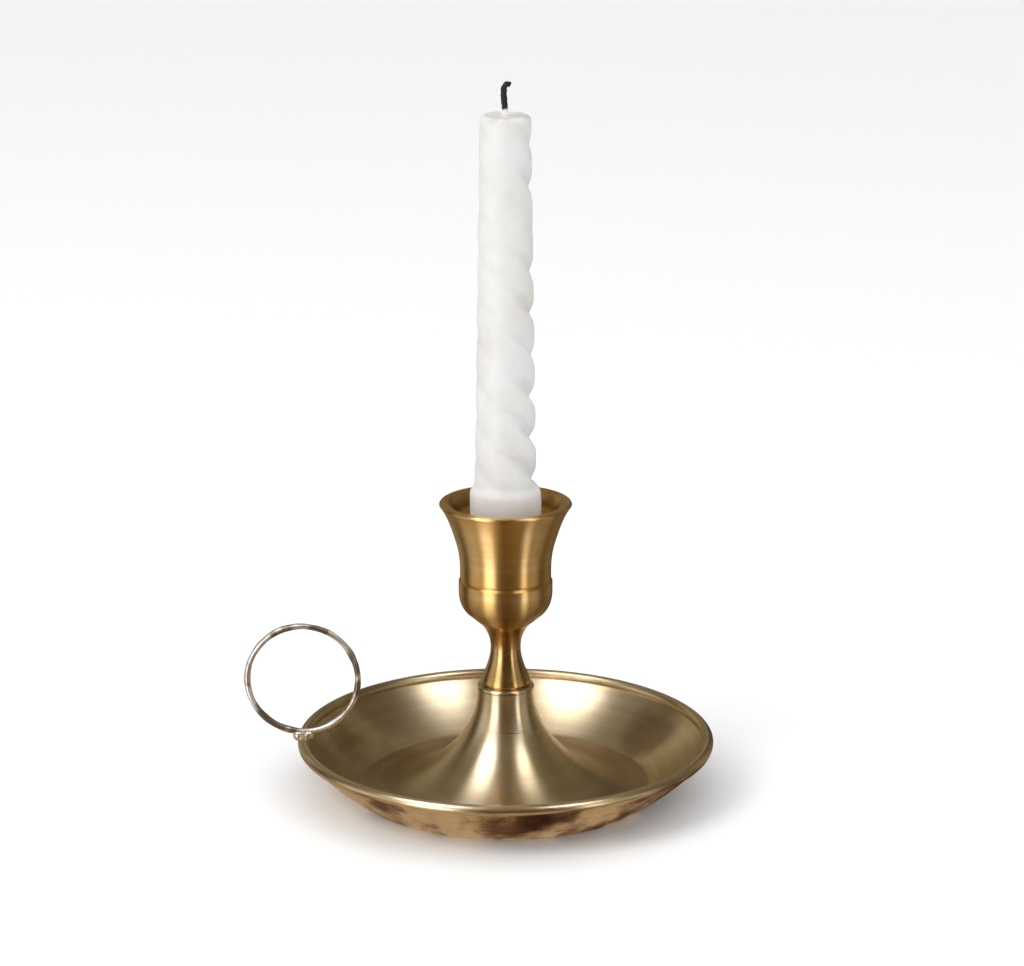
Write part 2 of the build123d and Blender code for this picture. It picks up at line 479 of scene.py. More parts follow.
def turn(name, outline, sides):
    """Turns an outline round the axis, as on a lathe."""
    nothing_selected()
    bpy.ops.mesh.primitive_plane_add(size=MM, location=(outline[0][0], 0.0, outline[0][1]))
    piece = name_new(name)
    bpy.ops.object.mode_set(mode="EDIT")
    bpy.ops.mesh.merge(type="CENTER")
    for (r0, z0), (r1, z1) in zip(outline, outline[1:]):
        bpy.ops.mesh.extrude_vertices_move(TRANSFORM_OT_translate={"value": (r1 - r0, 0.0, z1 - z0)})
    bpy.ops.mesh.select_all(action="SELECT")
    bpy.ops.mesh.spin(steps=sides, angle=2 * math.pi, center=AXIS, axis=(0, 0, 1))
    close_shell()
    bpy.ops.object.transform_apply(location=True, rotation=True, scale=True)
    return piece


def apply_modifier(piece, kind, **settings):
    """Adds a modifier with these settings and applies it."""
    modifier = piece.modifiers.new(kind.title(), kind)
    for name, value in settings.items():
        setattr(modifier, name, value)
    bpy.ops.object.modifier_apply(modifier=modifier.name)


def soften_edges(piece, width):
    """Rounds every sharp edge, as a polished corner is."""
    apply_modifier(
        piece,
        "BEVEL",
        width=width,
        segments=2,
        limit_method="ANGLE",
        angle_limit=math.radians(SHARP_EDGE),
        use_clamp_overlap=True,
        miter_outer="MITER_ARC",
    )


def ripple(piece, size, depth):
    """Makes a surface slightly uneven, as hand work leaves it."""
    texture = bpy.data.textures.new(piece.name + "_ripple", "CLOUDS")
    texture.noise_scale = size
    apply_modifier(
        piece,
        "DISPLACE",
        texture=texture,
        texture_coords="LOCAL",
        strength=depth,
        mid_level=0.5,
    )
    bpy.data.textures.remove(texture)


def put_in_frame(piece, material, body, slot, *nodes, angle=38.0):
    """Finishes a piece: smooth shading, its material, and its place in the frame."""
    nothing_selected()
    piece.select_set(True)
    bpy.context.view_layer.objects.active = piece
    bpy.ops.object.shade_smooth_by_angle(angle=math.radians(angle))
    piece.data.materials.clear()
    piece.data.materials.append(material)
    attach(piece, body)
    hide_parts(*nodes)


# ---------------------------------------------------------------- sizes and colours


def length(name, default, description):
    """A setting that is a length."""
    return bpy.props.FloatProperty(
        name=name,
        default=default,
        description=description,
        unit="LENGTH",
        subtype="DISTANCE",
        precision=5,
    )


def number(name, default, description):
    """A setting that is a plain number."""
    return bpy.props.FloatProperty(name=name, default=default, description=description)


def colour(name, default, description):
    """A setting that is a colour."""
    return bpy.props.FloatVectorProperty(
        name=name, default=default, description=description, subtype="COLOR", size=3, min=0.0, max=1.0
    )


class DishSettings(bpy.types.PropertyGroup):
    """Sizes and finish of the dish and the pillar that stands in it."""

    rim_radius: length("Rim radius", dish_high.y, "Turning axis to the outside of the rolled rim")
    rim_height: length("Rim height", dish_high.z, "Foot to the top of the rolled rim")
    wall: length("Wall", 1.6 * MM, "Thickness of the spun sheet")
    bead: length("Bead radius", 1.7 * MM, "Radius of the rolled rim")
    foot_radius: length("Foot radius", 47.2 * MM, "Outside of the flat that the dish stands on")
    bow: length("Wall bow", 0.8 * MM, "How far the wall bulges below a straight line")
    ripple: length("Ripple", 0.10 * MM, "Unevenness left by spinning the sheet")
    pillar_band: length("Band", 2.0 * MM, "Straight band at the top of the pillar")
    pillar_throat: length("Throat", 14.0 * MM, "Height of the pull on the upper half of the trumpet")
    pillar_spread: length("Spread", 30.0 * MM, "Radius of the pull on the lower half of the trumpet")
    pillar_top: length("Pillar top", 8.95 * MM, "Radius of the pillar's top")
    colour: colour("Brass", (0.75, 0.60, 0.37), "Main colour of the polished brass")
    warm_colour: colour("Warm brass", (0.68, 0.52, 0.28), "Brass where the patina has warmed")
    pale_colour: colour("Pale brass", (0.86, 0.77, 0.56), "Freshly cut rings")
    # The tarnish colour also colours the painted shade and painted reflections on the dish and pillar.
    tarnish_and_shade_colour: colour("Tarnish", (0.18, 0.075, 0.03), "Brown tarnish")
    tarnish: number("Tarnish amount", 0.35, "How strong the tarnish is")
    roughness: number("Roughness", 0.24, "Lowest roughness of the finish")
    brushing: number("Brushing", 0.64, "How far the turning lines stretch a highlight")
    pillar_roughness: number("Pillar roughness", 0.23, "Lowest roughness of the pillar")
    pillar_brushing: number("Pillar brushing", 0.85, "The same on the pillar")
    lathe_depth: length("Line depth", 0.005 * MM, "Depth of the turning lines")


class CupSettings(bpy.types.PropertyGroup):
    """Sizes and finish of the stem and the cup."""

    foot_radius: length("Stem foot", 7.7 * MM, "Radius of the stem's foot disc")
    foot_height: length("Foot height", 2.1 * MM, "Thickness of the stem's foot disc")
    groove: length("Groove", 0.5 * MM, "Height of the groove under the foot disc")
    neck_radius: length("Neck", 4.7 * MM, "Radius of the narrowest part of the stem")
    neck_height: length("Neck height", 12.3 * MM, "Foot of the stem to its narrowest part")
    top_radius: length("Stem top", 8.2 * MM, "Radius of the stem's top")
    lip_radius: length("Lip", cup_high.y, "Outside radius of the lip")
    side_radius: length("Side", 14.2 * MM, "Radius of the straight side")
    belly_radius: length("Belly", 14.65 * MM, "Radius of the belly under the turned line")
    bore_radius: length("Bore", 11.45 * MM, "Radius of the bore that holds the candle")
    bore_floor: length("Bore floor", 7.4 * MM, "Underside of the cup to the floor of its bore")
    mouth_radius: length("Mouth", 17.1 * MM, "Inside radius of the lip")
    colour: colour("Brass", (0.81, 0.53, 0.20), "Main colour of the polished brass")
    warm_colour: colour("Warm brass", (0.72, 0.415, 0.12), "Brass where the lacquer has warmed")
    pale_colour: colour("Pale brass", (0.88, 0.67, 0.36), "Freshly cut rings")
    # The tarnish colour also colours the painted shade in and round the cup.
    tarnish_and_shade_colour: colour("Tarnish", (0.20, 0.09, 0.022), "Brown tarnish")
    tarnish: number("Tarnish amount", 0.42, "How strong the tarnish is")
    roughness: number("Roughness", 0.31, "Lowest roughness of the finish")
    stem_roughness: number("Stem roughness", 0.17, "The same on the stem")
    brushing: number("Brushing", 0.94, "How far the turning lines stretch a highlight")
    stem_brushing: number("Stem brushing", 0.80, "The same on the stem")
    lathe_depth: length("Line depth", 0.002 * MM, "Depth of the turning lines")


class RingSettings(bpy.types.PropertyGroup):
    """Sizes and finish of the finger ring and the braze that holds it."""

    band: length("Band", 2.0 * MM, "Thickness of the band across the ring's radius")
    width: length("Width", ring_high.y - ring_low.y, "Width of the band along the ring's axis")
    hammering: length("Hammering", 0.48 * MM, "Depth of the hammer marks")
    braze_radius: length("Braze", 1.4 * MM, "Radius of each bead of braze")
    colour: colour("Brass", (0.88, 0.83, 0.74), "Main colour of the ring")
    warm_colour: colour("Warm brass", (0.66, 0.56, 0.43), "Brass where the patina has warmed")
    tarnish_and_shade_colour: colour("Tarnish", (0.13, 0.085, 0.055), "Brown left in the hammer marks")
    tarnish: number("Tarnish amount", 0.80, "How strong the tarnish is")
    roughness: number("Roughness", 0.29, "Lowest roughness of the finish")
    lathe_depth: length("Dent depth", 0.06 * MM, "Depth of the small dents")


class CandleSettings(bpy.types.PropertyGroup):
    """Sizes and colours of the twisted candle."""

    base_radius: length("Base", candle_high.x, "Radius of the plain round base")
    base_height: length("Base height", 35.4 * MM, "Height of the plain round base")
    shoulder: length("Shoulder", 1.45 * MM, "Step in from the base to the twist")
    shoulder_height: length("Shoulder height", 2.2 * MM, "Height of that step")
    top_radius: length("Top", 7.95 * MM, "Radius of the candle near its top")
    cap_height: length("Cap", 2.6 * MM, "Height of the melted top above the twist")
    lead: length("Lead", 39.2 * MM, "Height of one full turn of the twist")
    valley: length("Valley", 1.7 * MM, "Depth of the valleys between the strands")
    valley_height: length("Valley height", 100.8 * MM, "Where a valley faces the right-hand side")
    ring_step: length("Ring step", 1.8 * MM, "Height of each ring of points in the twist")
    unevenness: length("Unevenness", 0.5 * MM, "How uneven the hand-rolled wax is")
    strands: bpy.props.IntProperty(name="Strands", default=3, description="Strands in the twist")
    colour: colour("Wax", (0.685, 0.685, 0.68), "Main colour of the wax")
    shade_colour: colour("Shade", (0.63, 0.615, 0.585), "Slightly darker clouds in the wax")
    pool_colour: colour("Pool", (0.50, 0.47, 0.41), "Soot on the melted top")
    pool_start: length("Pool start", candle_high.z - 3.0 * MM, "Where the melted top starts")
    pool_end: length("Pool end", candle_high.z - 1.0 * MM, "Where the melted top is fully marked")


class WickSettings(bpy.types.PropertyGroup):
    """Sizes and colours of the wick."""

    radius: length("Radius", wick_high.y, "Radius of the wick")
    lean: length("Lean", 0.5 * MM, "How far the wick leans to the left before its hook")
    hook: length("Hook", 1.7 * MM, "How far the hook reaches to the right of the foot")
    char_start: length("Char", candle_high.z + 1.4 * MM, "Where the black char starts")
    waxed_colour: colour("Waxed", (0.86, 0.83, 0.74), "Waxed cotton at the foot")
    char_colour: colour("Char", (0.010, 0.009, 0.008), "Charred cotton")
    ash_colour: colour("Ash", (0.06, 0.05, 0.045), "Grey ash on the char")


class StageSettings(bpy.types.PropertyGroup):
    """Camera, light and floor."""

    lens: number("Lens", 116.2, "Focal length in millimetres")
    camera_place: bpy.props.FloatVectorProperty(
        name="Camera",
        default=(0.002, -0.985, 0.3706),
        description="Place of the camera",
        subtype="TRANSLATION",
    )
    camera_pitch: number("Pitch", 15.4, "How far the camera looks down, in degrees")
    floor_colour: colour("Floor", (0.95, 0.95, 0.945), "Colour of the floor")
    table_colour: colour("Table", (0.56, 0.42, 0.29), "Warm tone that the metal picks up from below")
    grain_colour: colour("Table grain", (0.045, 0.014, 0.007), "Dark grain in that tone")
    sky_colour: colour("Sky", (0.98, 0.99, 1.0), "Colour of the soft light all round")
    sky_strength: number("Sky strength", 0.95, "Strength of the soft light all round")
    card_strength: number("Card strength", 1.0, "Strength of the lit cards that the metal reflects")
    brightness: number("Brightness", 1.0, "Strength of the lamps")


# ---------------------------------------------------------------- pieces


def dish_outline(sizes):
    """The spun sheet from its middle, under the wall, round the rolled rim and back over the flat."""
    bead_centre = (sizes.rim_radius - sizes.bead, sizes.rim_height - sizes.bead)
    wall_top = (bead_centre[0] + sizes.wall / 2, bead_centre[1] - sizes.wall / 2)
    foot = (sizes.foot_radius, sizes.ripple / 2)
    under = arc(foot, wall_top, sizes.bow, 22)
    under = [p for p in under if math.dist(p, bead_centre) > sizes.bead]
    lean = Vector((wall_top[0] - foot[0], wall_top[1] - foot[1])).normalized()
    inward = Vector((-lean.y, lean.x)) * sizes.wall
    crease = (FLAT_RADIUS, FLAT_HEIGHT)
    inner_top = (wall_top[0] + inward.x, wall_top[1] + inward.y)
    inside = arc(crease, inner_top, sizes.bow * 1.15, 22)
    inside = [p for p in inside if math.dist(p, bead_centre) > sizes.bead]
    seat = (pillar_high.x + 0.1 * MM, SEAT_HEIGHT)
    return [
        (ROD_HOLE, POCKET_HEIGHT),
        (POCKET_RADIUS, POCKET_HEIGHT),
        (POCKET_RADIUS, sizes.ripple / 2),
        (28.0 * MM, sizes.ripple / 2),
        foot,
        *under,
        *round_part(bead_centre, sizes.bead, -92.0, 210.0, 22),
        *reversed(inside),
        crease,
        (seat[0] + 3.0 * MM, FLAT_HEIGHT),
        (seat[0], FLAT_HEIGHT),
        seat,
        (BOSS_RADIUS, SEAT_HEIGHT),
        (BOSS_RADIUS, BOSS_HEIGHT),
        (ROD_HOLE, BOSS_HEIGHT),
        (ROD_HOLE, POCKET_HEIGHT),
    ]


class CHAMBERSTICK_OT_dish(bpy.types.Operator):
    """Models the spun dish with its rolled rim"""

    bl_idname = "chamberstick.dish"
    bl_label = "Dish"

    def execute(self, context):
        sizes = context.scene.chamberstick_dish
        dish = turn("dish", dish_outline(sizes), 208)
        soften_edges(dish, 0.16 * MM)
        ripple(dish, 26.0 * MM, sizes.ripple)
        brass = turned_brass("dish_brass", sizes, sizes.roughness, sizes.brushing, dish_shade_and_reflections)
        put_in_frame(dish, brass, "holder", "pan_brass", "drip_pan")
        return {"FINISHED"}


def pillar_outline(sizes):
    """The trumpet from its seat in the dish up to the socket for the stem."""
    top = pillar_high.z
    foot_radius = pillar_high.x + 0.25 * MM
    floor = FLAT_HEIGHT + 0.02 * MM
    throat = (sizes.pillar_top, top - sizes.pillar_band)
    trumpet = bow_curve(
        (foot_radius, floor),
        (sizes.pillar_spread, floor),
        (sizes.pillar_top, sizes.pillar_throat),
        throat,
        34,
    )
    return [
        (ROD_HOLE, BOSS_HEIGHT),
        (BOSS_RADIUS + 0.1 * MM, BOSS_HEIGHT),
        (BOSS_RADIUS + 0.1 * MM, SEAT_HEIGHT),
        (foot_radius - 0.4 * MM, SEAT_HEIGHT),
        (foot_radius - 0.3 * MM, FLAT_HEIGHT - 0.05 * MM),
        (foot_radius, floor),
        *trumpet,
        (sizes.pillar_top, top - 0.9 * MM),
        *round_part((sizes.pillar_top - 0.7 * MM, top - 0.7 * MM), 0.7 * MM, 0.0, 90.0, 5),
        (SOCKET, top),
        (SOCKET, top - SOCKET_HEIGHT),
        (ROD_HOLE, top - SOCKET_HEIGHT),
        (ROD_HOLE, BOSS_HEIGHT),
    ]


class CHAMBERSTICK_OT_pillar(bpy.types.Operator):
    """Models the trumpet-shaped pillar in the middle of the dish"""

    bl_idname = "chamberstick.pillar"
    bl_label = "Pillar"

    def execute(self, context):
        sizes = context.scene.chamberstick_dish
        pillar = turn("pillar_turned", pillar_outline(sizes), 160)
        soften_edges(pillar, 0.12 * MM)
        roughness, brushing = sizes.pillar_roughness, sizes.pillar_brushing
        brass = turned_brass("pillar_brass", sizes, roughness, brushing, pillar_shade_and_line)
        put_in_frame(pillar, brass, "holder", "pan_brass", "pillar")
        return {"FINISHED"}


def stem_outline(sizes):
    """The stem from its spigot, over the foot disc and up the waist to the socket for the cup."""
    foot = pillar_high.z
    top = cup_low.z + SPIGOT_HEIGHT
    disc_low = foot + sizes.groove
    disc_high = disc_low + sizes.foot_height
    edge = (sizes.foot_radius, disc_low + 0.5 * MM)
    neck = (sizes.neck_radius, foot + sizes.neck_height)
    lower = bow_curve(
        edge,
        (edge[0] - 0.5 * MM, disc_high + 0.9 * MM),
        (neck[0], neck[1] - 4.6 * MM),
        neck,
        24,
    )
    upper = bow_curve(
        neck,
        (neck[0], neck[1] + 3.2 * MM),
        (sizes.top_radius - 2.3 * MM, top - 2.3 * MM),
        (sizes.top_radius, top),
    )
    return [
        (ROD_HOLE, foot - SPIGOT_HEIGHT),
        (SPIGOT, foot - SPIGOT_HEIGHT),
        (SPIGOT, foot),
        (sizes.foot_radius - 0.6 * MM, foot),
        (sizes.foot_radius - 0.6 * MM, disc_low),
        (sizes.foot_radius - 0.1 * MM, disc_low),
        edge,
        *lower,
        *upper,
        (SOCKET, top),
        (SOCKET, top - SOCKET_HEIGHT),
        (ROD_HOLE, top - SOCKET_HEIGHT),
        (ROD_HOLE, foot - SPIGOT_HEIGHT),
    ]


class CHAMBERSTICK_OT_stem(bpy.types.Operator):
    """Models the waisted stem with its foot disc"""

    bl_idname = "chamberstick.stem"
    bl_label = "Stem"

    def execute(self, context):
        sizes = context.scene.chamberstick_cup
        stem = turn("stem_turned", stem_outline(sizes), 112)
        soften_edges(stem, 0.10 * MM)
        roughness, brushing = sizes.stem_roughness, sizes.stem_brushing
        brass = turned_brass("stem_brass", sizes, roughness, brushing, stem_hollows)
        put_in_frame(stem, brass, "holder", "cup_brass", "stem")
        return {"FINISHED"}


def cup_outline(sizes):
    """The cup from its spigot up the bowl, belly and flare, over the lip and down into the bore."""
    base = cup_low.z + SPIGOT_HEIGHT
    lip = cup_high.z
    foot_radius = sizes.top_radius + 0.6 * MM
    bowl = (sizes.belly_radius - 2.45 * MM, base + 3.3 * MM)
    belly_low = (sizes.belly_radius, base + 10.4 * MM)
    line = base + 13.8 * MM
    straight = base + 20.0 * MM
    flare = (sizes.side_radius + 1.9 * MM, base + 28.0 * MM)
    rounding = 0.8 * MM
    mouth = (sizes.mouth_radius, lip - 0.7 * MM)
    lip_out = (sizes.lip_radius, lip - rounding)
    foot_edge = (foot_radius, base + 0.35 * MM)
    side_high = (sizes.side_radius, straight - 3.0 * MM)
    to_bowl = bow_curve(
        foot_edge,
        (foot_radius + 1.0 * MM, base + 1.2 * MM),
        (bowl[0] - 1.3 * MM, bowl[1] - 1.1 * MM),
        bowl,
        8,
    )
    to_belly = bow_curve(
        bowl,
        (bowl[0] + 1.6 * MM, bowl[1] + 1.6 * MM),
        (belly_low[0], belly_low[1] - 3.3 * MM),
        belly_low,
        14,
    )
    to_flare = bow_curve(
        side_high,
        (sizes.side_radius, straight + 2.4 * MM),
        (flare[0] - 0.75 * MM, flare[1] - 2.4 * MM),
        flare,
        14,
    )
    to_lip = bow_curve(
        flare,
        (flare[0] + 1.0 * MM, flare[1] + 3.2 * MM),
        (lip_out[0] - 2.1 * MM, lip_out[1] - 2.6 * MM),
        lip_out,
        14,
    )
    to_bore = bow_curve(
        mouth,
        (mouth[0] - 1.9 * MM, mouth[1] - 2.7 * MM),
        (sizes.bore_radius, straight + 7.0 * MM),
        (sizes.bore_radius, straight),
        16,
    )
    return [
        (0.0, base + 5.0 * MM),
        (2.0 * MM, base + 5.0 * MM),
        (2.0 * MM, cup_low.z),
        (SPIGOT, cup_low.z),
        (SPIGOT, base),
        (foot_radius - 0.5 * MM, base),
        foot_edge,
        *to_bowl,
        *to_belly,
        (sizes.belly_radius, line - 0.9 * MM),
        *round_part((sizes.belly_radius - 0.5 * MM, line - 0.6 * MM), 0.5 * MM, 0.0, 80.0, 5),
        (sizes.side_radius - 0.45 * MM, line + 0.3 * MM),
        (sizes.side_radius, line + 0.75 * MM),
        side_high,
        *to_flare,
        *to_lip,
        *round_part((lip_out[0] - rounding, lip_out[1]), rounding, 0.0, 90.0, 7),
        (mouth[0] + 0.6 * MM, lip - 0.25 * MM),
        mouth,
        *to_bore,
        (sizes.bore_radius, base + sizes.bore_floor),
        (0.0, base + sizes.bore_floor),
    ]


class CHAMBERSTICK_OT_cup(bpy.types.Operator):
    """Models the flared cup that holds the candle"""

    bl_idname = "chamberstick.cup"
    bl_label = "Cup"

    def execute(self, context):
        sizes = context.scene.chamberstick_cup
        cup = turn("cup_turned", cup_outline(sizes), 144)
        soften_edges(cup, 0.12 * MM)
        brass = turned_brass("cup_brass", sizes, sizes.roughness, sizes.brushing, cup_painted_shade)
        put_in_frame(cup, brass, "holder", "cup_brass", "candle_cup")
        return {"FINISHED"}


class CHAMBERSTICK_OT_ring(bpy.types.Operator):
    """Models the hammered finger ring on the rim"""

    bl_idname = "chamberstick.ring"
    bl_label = "Finger ring"

    def execute(self, context):
        sizes = context.scene.chamberstick_ring
        centre = (ring_low + ring_high) / 2
        margin = sizes.hammering * 0.5
        outer = (ring_high.x - ring_low.x) / 2 - margin
        nothing_selected()
        bpy.ops.mesh.primitive_torus_add(
            location=centre,
            rotation=(math.pi / 2, 0.0, 0.0),
            major_segments=132,
            minor_segments=14,
            major_radius=outer - sizes.band / 2,
            minor_radius=sizes.band / 2,
        )
        ring = name_new("finger_ring_hammered")
        bpy.ops.object.transform_apply(location=True, rotation=True, scale=True)
        bpy.ops.object.mode_set(mode="EDIT")
        bpy.ops.mesh.select_all(action="SELECT")
        widening = sizes.width / sizes.band * 0.9
        bpy.ops.transform.resize(value=(1.0, widening, 1.0), center_override=centre)
        bpy.ops.object.mode_set(mode="OBJECT")
        ripple(ring, 4.5 * MM, sizes.hammering * 0.9)
        ripple(ring, 11.0 * MM, sizes.hammering)
        apply_modifier(ring, "SUBSURF", levels=1, render_levels=1)
        put_in_frame(ring, hammered_brass(sizes), "holder", "ring_brass", "finger_ring")
        return {"FINISHED"}


# How much larger and higher the beads of braze are than their plain shapes in the frame.
BRAZE_SWELL = 1.2
BRAZE_RISE = 0.25 * MM


class CHAMBERSTICK_OT_braze(bpy.types.Operator):
    """Models the two beads of braze that hold the finger ring"""

    bl_idname = "chamberstick.braze"
    bl_label = "Braze"

    def execute(self, context):
        sizes = context.scene.chamberstick_ring
        middle = (braze_low + braze_high) / 2
        reach = (braze_high.x - braze_low.x) / 2 - sizes.braze_radius
        beads = []
        for side in (-1, 1):
            nothing_selected()
            place = (middle.x + side * reach, 0.0, middle.z + BRAZE_RISE)
            bpy.ops.mesh.primitive_uv_sphere_add(
                segments=32,
                ring_count=20,
                radius=sizes.braze_radius * BRAZE_SWELL,
                location=place,
            )
            bead = name_new("braze_bead")
            bpy.ops.object.transform_apply(location=True, rotation=True, scale=True)
            ripple(bead, 1.1 * MM, sizes.braze_radius * 0.16)
            beads.append(bead)
        nothing_selected()
        for bead in beads:
            bead.select_set(True)
        bpy.context.view_layer.objects.active = beads[0]
        bpy.ops.object.join()
        braze = name_new("braze_beads")
        put_in_frame(braze, bpy.data.materials["ring_brass"], "holder", "ring_brass", "ring_braze")
        return {"FINISHED"}


# Sides of each strand of the twist, how deep each column of points from a valley's middle is
# pressed, and how hard each side of the candle is pressed: lowest and highest cosine of the bearing.
STRAND_SIDES = 12
VALLEY_SHAPE = (1.0, 0.80, 0.42, 0.14)
PRESSED_SIDES = (
    (-1.01, -0.7, 0.32),
    (-0.7, -0.25, 0.30),
    (-0.25, 0.25, 0.34),
    (0.25, 0.7, 0.75),
    (0.7, 1.01, 1.20),
)
# How hard each valley on the right-hand side is pressed, from the lowest one upwards.
VALLEY_PRESSES = (1.1, 1.5, 1.5, 0.75, 1.15, 0.95, 0.12, 0.95, 0.5)


def grow_ring(place_from, place_to, turn_angle=0.0, scale=1.0):
    """Extrudes the selected ring of points to a new place, turned and scaled about its middle."""
    step = Vector(place_to) - Vector(place_from)
    bpy.ops.mesh.extrude_region_move(TRANSFORM_OT_translate={"value": step})
    if turn_angle:
        bpy.ops.transform.rotate(value=-turn_angle, orient_axis="Z", center_override=place_to)
    if scale != 1.0:
        bpy.ops.transform.resize(value=(scale, scale, 1.0), center_override=place_to)


class CHAMBERSTICK_OT_candle(bpy.types.Operator):
    """Models the candle: a plain base, a three-strand twist and a melted top"""

    bl_idname = "chamberstick.candle"
    bl_label = "Candle"

    def execute(self, context):
        sizes = context.scene.chamberstick_candle
        low = candle_low.z
        base_top = low + sizes.base_height
        twist_low = base_top + sizes.shoulder_height
        twist_high = candle_high.z - sizes.cap_height
        nothing_selected()
        bpy.ops.mesh.primitive_circle_add(
            vertices=sizes.strands * STRAND_SIDES,
            radius=sizes.base_radius - 0.25 * MM,
            location=(0.0, 0.0, low),
            rotation=(0.0, 0.0, self.bearing(sizes, twist_low)),
            fill_type="NGON",
        )
        candle = name_new("candle_twisted")
        bpy.ops.object.transform_apply(location=True, rotation=True, scale=True)
        bpy.ops.object.mode_set(mode="EDIT")
        bpy.ops.mesh.select_all(action="SELECT")
        neck = sizes.base_radius - sizes.shoulder
        stations = [
            (sizes.base_radius - 0.25 * MM, low),
            (sizes.base_radius, low + 0.3 * MM),
            (sizes.base_radius, low + 12.0 * MM),
            (sizes.base_radius, low + 24.0 * MM),
            (sizes.base_radius, base_top - 1.4 * MM),
            (sizes.base_radius - 0.15 * MM, base_top - 0.5 * MM),
            (sizes.base_radius - 0.6 * MM, base_top + 0.4 * MM),
            (neck, twist_low - 0.8 * MM),
            (neck, twist_low),
        ]
        rings = round((twist_high - twist_low) / sizes.ring_step)
        for index in range(1, rings + 1):
            share = index / rings
            radius = neck + (sizes.top_radius - neck) * share
            stations.append((radius, twist_low + (twist_high - twist_low) * share))
        top = candle_high.z
        radius = sizes.top_radius
        stations += [
            (radius * 0.99, top - 1.5 * MM),
            (radius * 0.95, top - 0.75 * MM),
            (radius * 0.86, top - 0.25 * MM),
            (radius * 0.74, top - 0.20 * MM),
            (radius * 0.60, top - 0.75 * MM),
            (radius * 0.34, top - 0.85 * MM),
            (radius * 0.20, top - 0.45 * MM),
            (radius * 0.15, top),
        ]
        for (r0, z0), (r1, z1) in zip(stations, stations[1:]):
            twist = self.bearing(sizes, z1) - self.bearing(sizes, z0) if z0 >= twist_low else 0.0
            grow_ring((0, 0, z0), (0, 0, z1), twist, r1 / r0)
        bpy.ops.mesh.edge_face_add()
        close_shell()
        self.press_valleys(candle, sizes, twist_low, twist_high)
        apply_modifier(candle, "SUBSURF", levels=2, render_levels=2)
        ripple(candle, 7.0 * MM, sizes.unevenness)
        put_in_frame(candle, candle_wax(sizes), "candle", "white_wax", "candle", angle=60.0)
        return {"FINISHED"}

    def bearing(self, sizes, height):
        """Bearing of one valley of the twist at this height."""
        return -2 * math.pi * (height - sizes.valley_height) / sizes.lead

    def press_valleys(self, candle, sizes, twist_low, twist_high):
        """Pulls the points between the strands inwards, deeper on the side that was pressed more."""
        side = 2 * math.pi / (sizes.strands * STRAND_SIDES)
        bpy.ops.object.mode_set(mode="EDIT")
        for column, share in enumerate(VALLEY_SHAPE):
            for lowest, highest, press in PRESSED_SIDES:

                def chosen(co):
                    if not twist_low - 0.1 * MM < co.z < twist_high + 1.0 * MM:
                        return False
                    angle = math.atan2(co.y, co.x)
                    offset = (angle - self.bearing(sizes, co.z)) / side
                    nearest = offset - STRAND_SIDES * round(offset / STRAND_SIDES)
                    return abs(abs(nearest) - column) < 0.5 and lowest <= math.cos(angle) < highest

                if highest > 0.5:
                    self.press_notches(candle, sizes, chosen, share * press)
                    continue
                select_points(candle, chosen)
                scale = 1.0 - sizes.valley * share * press / sizes.base_radius
                bpy.ops.transform.resize(value=(scale, scale, 1.0), center_override=AXIS)
        bpy.ops.object.mode_set(mode="OBJECT")

    def press_notches(self, candle, sizes, chosen, share):
        """Presses the valleys on the right-hand side one by one, each as hard as the list says."""
        pitch = sizes.lead / sizes.strands
        for index, press in enumerate(VALLEY_PRESSES):
            middle = sizes.valley_height + index * pitch
            lowest = -1.0 if index == 0 else middle - pitch / 2
            highest = 1.0 if index == len(VALLEY_PRESSES) - 1 else middle + pitch / 2

            def in_notch(co):
                return lowest <= co.z < highest and chosen(co)

            select_points(candle, in_notch)
            scale = 1.0 - sizes.valley * share * press / sizes.base_radius
            bpy.ops.transform.resize(value=(scale, scale, 1.0), center_override=AXIS)


# How much narrower the wick gets at some of its steps.
WICK_TAPER = {0: 0.86, 1: 0.92, 13: 0.92, 15: 0.85, 17: 0.80, 18: 0.62}


